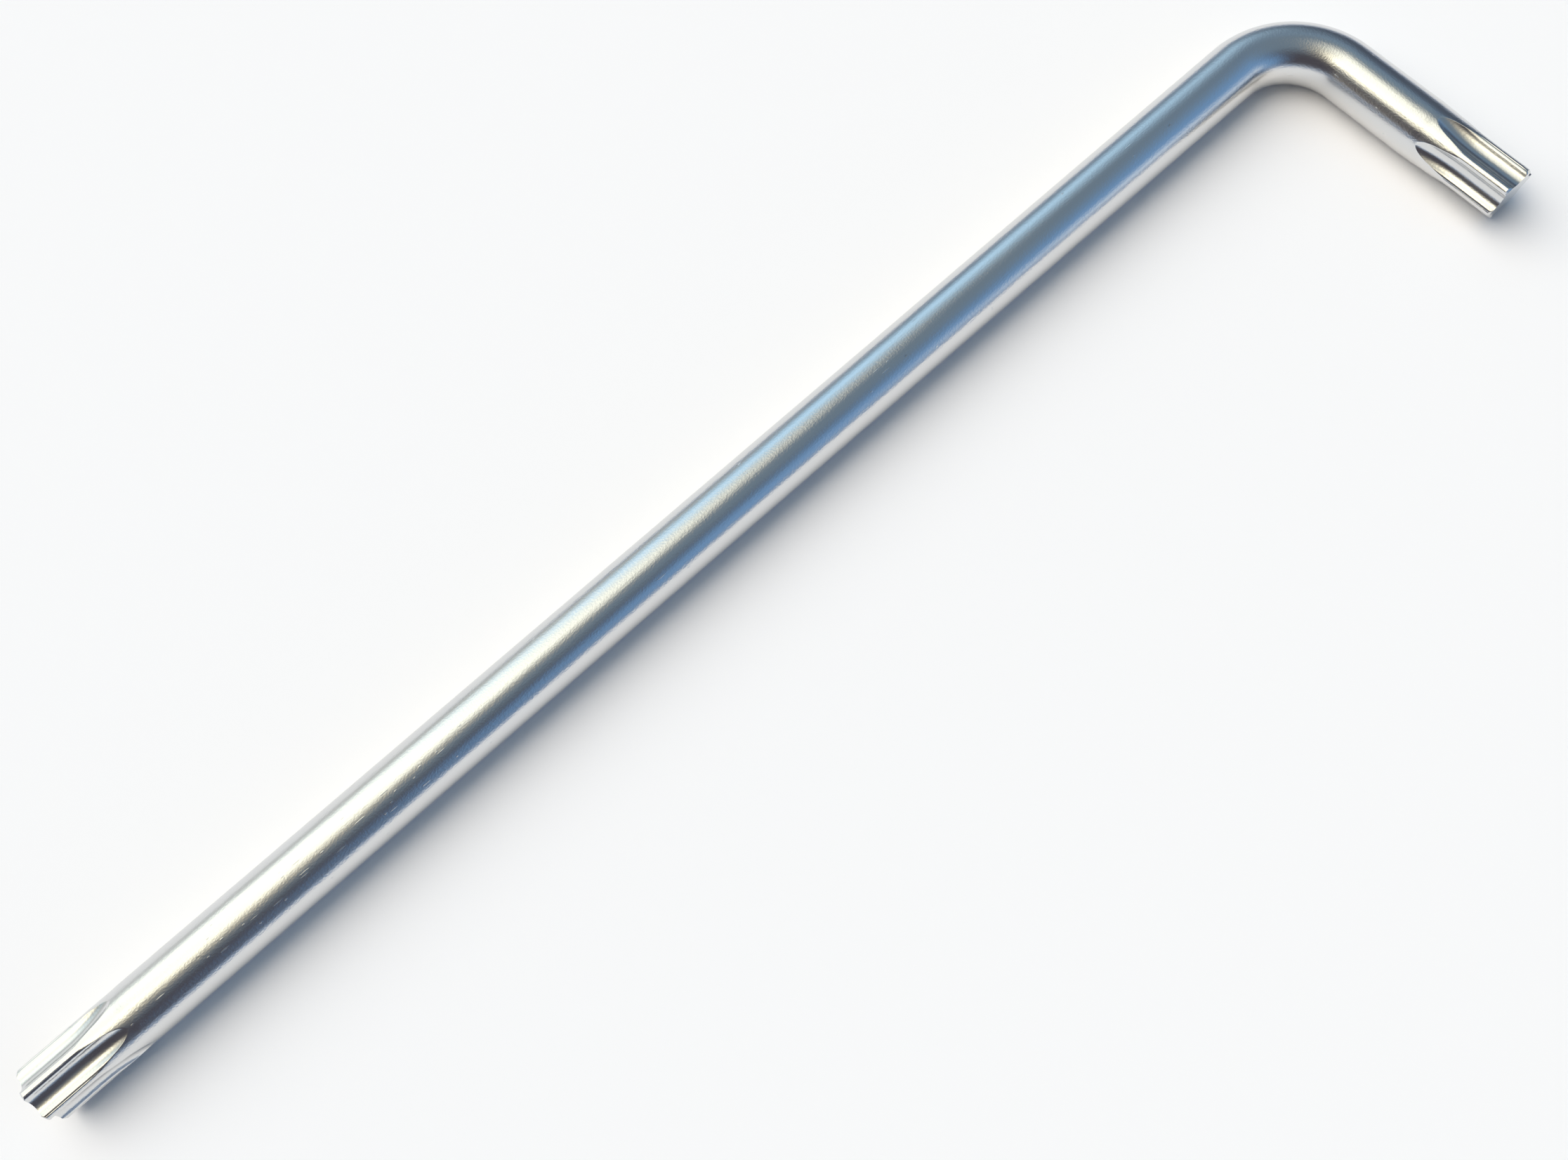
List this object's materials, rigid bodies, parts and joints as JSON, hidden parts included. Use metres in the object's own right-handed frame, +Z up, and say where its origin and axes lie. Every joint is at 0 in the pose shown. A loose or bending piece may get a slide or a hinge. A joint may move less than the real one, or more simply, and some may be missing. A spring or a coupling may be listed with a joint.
{
  "type": "star key",
  "caption": "L-shaped long-arm star key: a round plated steel bar bent at a right angle, with a six-lobe star drive cut into both ends for turning star-recess screws.",
  "frame": {"origin": "on the table, under the middle of the key's bounding box, with the key lying flat", "axes": "+X along the long arm from its star tip to the bend, -Y along the short arm towards its star tip, +Z up from the table"},
  "size_m": [0.145, 0.0286, 0.0055],
  "materials": {
    "plated_steel": "bright satin plating with fine grain and light scratches"
  },
  "bodies": {
    "root": {"long_arm": "plated_steel", "bend": "plated_steel", "short_arm": "plated_steel", "long_arm_star_tip": "plated_steel", "short_arm_star_tip": "plated_steel"}
  },
  "joints": []
}
